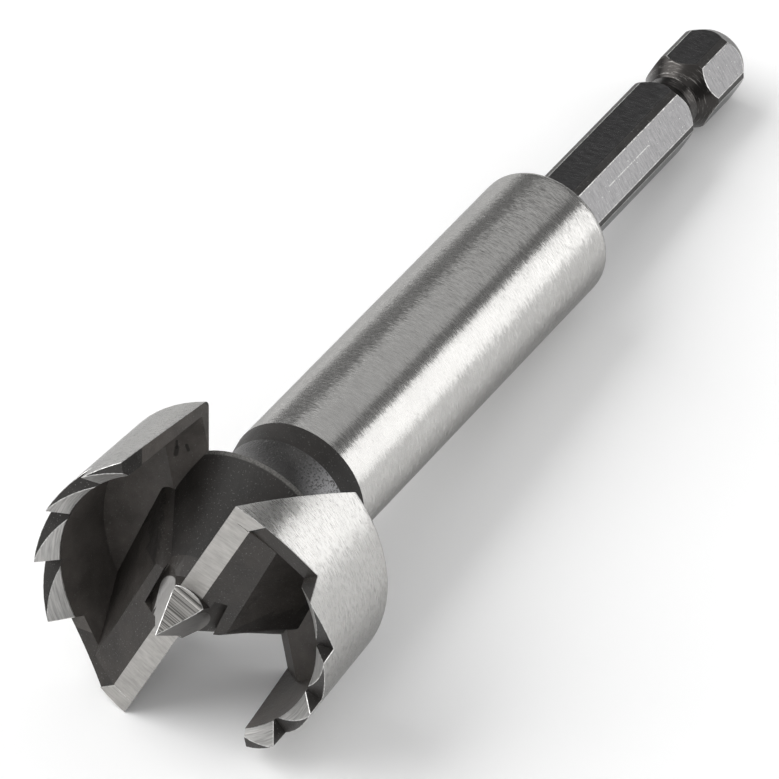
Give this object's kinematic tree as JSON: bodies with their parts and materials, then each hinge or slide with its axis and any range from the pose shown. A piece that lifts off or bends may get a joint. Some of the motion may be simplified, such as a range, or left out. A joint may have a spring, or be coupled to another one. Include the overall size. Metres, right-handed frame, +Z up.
{
  "type": "forstner bit",
  "caption": "Saw-tooth forstner bit with two radial chisel edges, a toothed rim, a ground centre point, a round shaft and a hexagonal quick-change shank.",
  "frame": {"origin": "centre of the bounding box at table level, with the bit lying as it comes to rest", "axes": "+X from the cutting head towards the shank, +Z up; the bit's own axis falls by about 6 degrees from head to shank"},
  "size_m": [0.0932, 0.026, 0.0247],
  "materials": {
    "tool_steel": "ground bright on the rim, lands, teeth, point and shaft; dark scale left in the bowls, gaps, neck and on some shank flats"
  },
  "bodies": {
    "root": {"forstner_bit": "tool_steel"}
  },
  "joints": []
}
